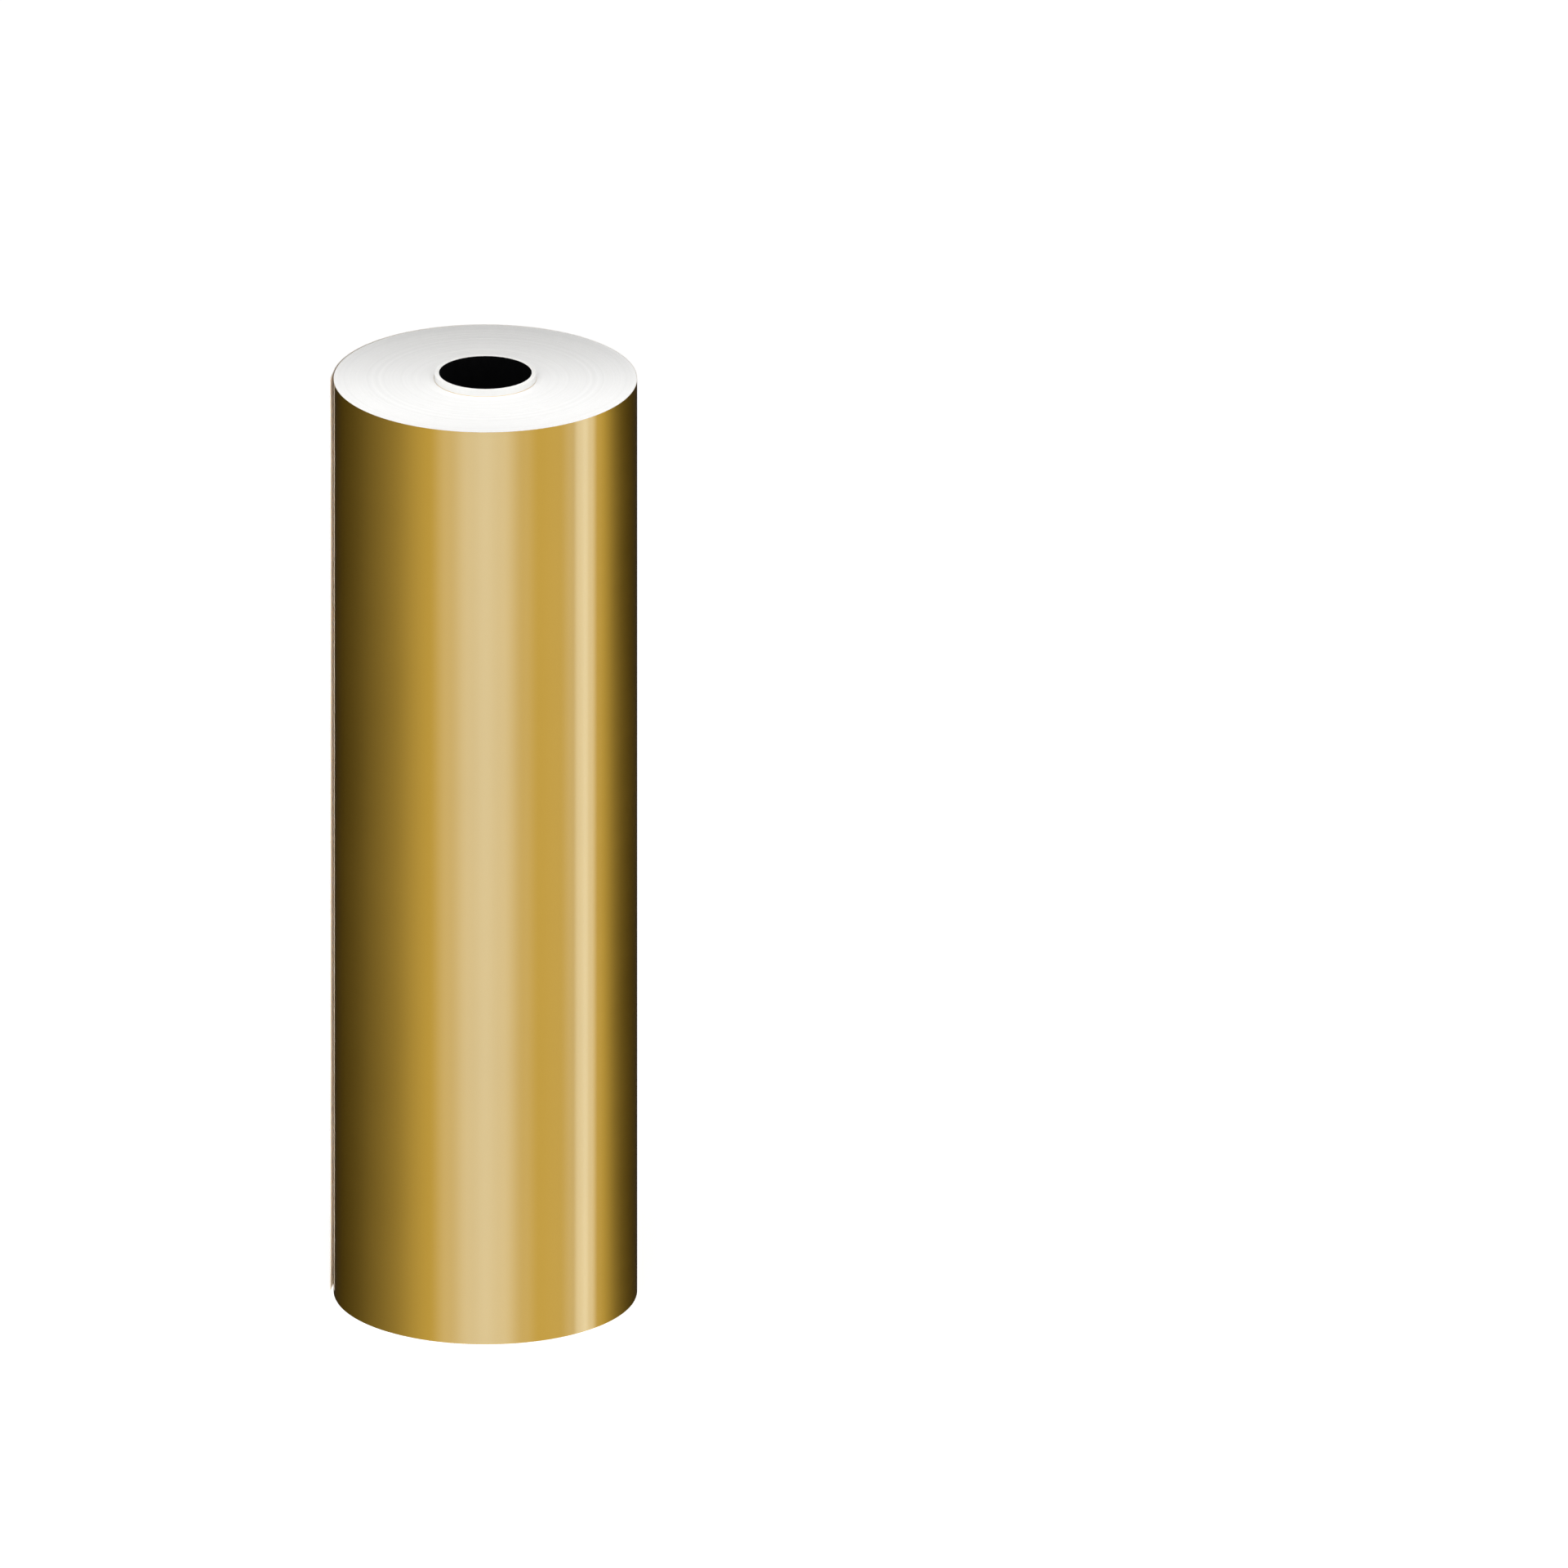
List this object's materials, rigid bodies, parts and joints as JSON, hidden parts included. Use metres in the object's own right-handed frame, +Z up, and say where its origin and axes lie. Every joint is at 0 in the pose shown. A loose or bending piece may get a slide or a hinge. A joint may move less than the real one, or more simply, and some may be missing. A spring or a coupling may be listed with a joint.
{
  "type": "roll of sign vinyl",
  "caption": "Full roll of gold self-adhesive sign vinyl on a paper core, standing on end, with a tail that lifts off the roll and film that peels back from its liner.",
  "frame": {"origin": "on the core's axis, in the end face that the roll stands on", "axes": "+Z up along the core's axis; -Y is the front; the tail's cut edge lies at -X"},
  "size_m": [0.192, 0.1901, 0.614],
  "materials": {
    "gold_film": "metallic gold, satin gloss",
    "adhesive": "pressure-sensitive coat, dull",
    "release_liner": "siliconed white paper, smooth",
    "web_edges": "slit edges of the wound web, smooth white",
    "white_paper": "smooth white paper",
    "core_board": "pale core board",
    "black_paper": "matt black paper",
    "clear_tape": "thin translucent tape",
    "label": "coated white label"
  },
  "bodies": {
    "roll": {"core_inner_ply": "black_paper", "core_body_ply_1": "core_board", "core_body_ply_2": "core_board", "core_body_ply_3": "core_board", "core_outer_ply": "white_paper", "core_label": "label", "start_tapes": "clear_tape", "first_turn_liner": "release_liner", "first_turn_adhesive": "adhesive", "first_turn_film": "gold_film", "wound_turns": "web_edges", "wrap_liner": "release_liner", "wrap_adhesive": "adhesive", "wrap_film": "gold_film"},
    "tail": {"tail_liner": "release_liner", "tail_adhesive": "adhesive", "tail_film": "gold_film", "hold_down_tapes": "clear_tape"},
    "film_flap": {"peel_adhesive": "adhesive", "peel_film": "gold_film"}
  },
  "joints": [
    {"name": "tail_lift", "type": "hinge", "parent": "roll", "child": "tail", "pos_m": [0.06709, 0.0673, 0], "axis": [0, 0, -1], "range_deg": [0, 60], "stiffness_Nm_per_rad": 0.05},
    {"name": "film_peel", "type": "hinge", "parent": "tail", "child": "film_flap", "pos_m": [-0.04085, 0.0863, 0], "axis": [0, 0, -1], "range_deg": [0, 120]}
  ]
}
